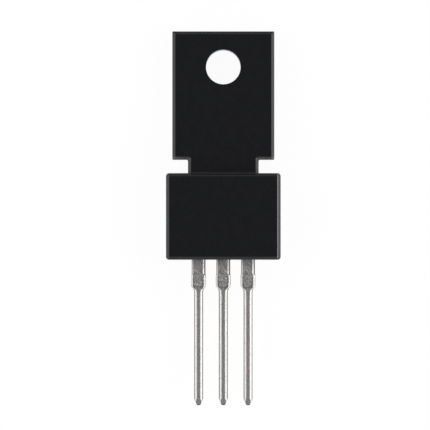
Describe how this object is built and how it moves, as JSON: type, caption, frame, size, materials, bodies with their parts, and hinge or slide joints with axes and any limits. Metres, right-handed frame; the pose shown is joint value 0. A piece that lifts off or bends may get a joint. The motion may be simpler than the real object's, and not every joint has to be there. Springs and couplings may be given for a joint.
{
  "type": "triac",
  "caption": "Triac in a fully moulded black power package: flat tab with a screw hole, deeper body and a row of straight tinned leads.",
  "frame": {"origin": "on the axis of the tab's screw hole, in the plane of the flat back that mounts on a heat sink", "axes": "+X across the row of leads, -Y along the leads from the body to their tips, +Z out of the front face, along the screw hole"},
  "size_m": [0.0106, 0.0346, 0.0045],
  "materials": {
    "epoxy": "matte",
    "tinned_copper": "satin",
    "silicon": "gloss",
    "solder": "satin",
    "bare_copper": "satin",
    "aluminium_wire": "satin"
  },
  "bodies": {
    "root": {"moulded_case": "epoxy", "header_and_mt2_lead": "tinned_copper", "mt1_lead": "tinned_copper", "gate_lead": "tinned_copper", "triac_die": "silicon", "die_solder": "solder", "mt1_clip": "bare_copper", "clip_die_solder": "solder", "clip_post_solder": "solder", "gate_wire": "aluminium_wire"}
  },
  "joints": []
}
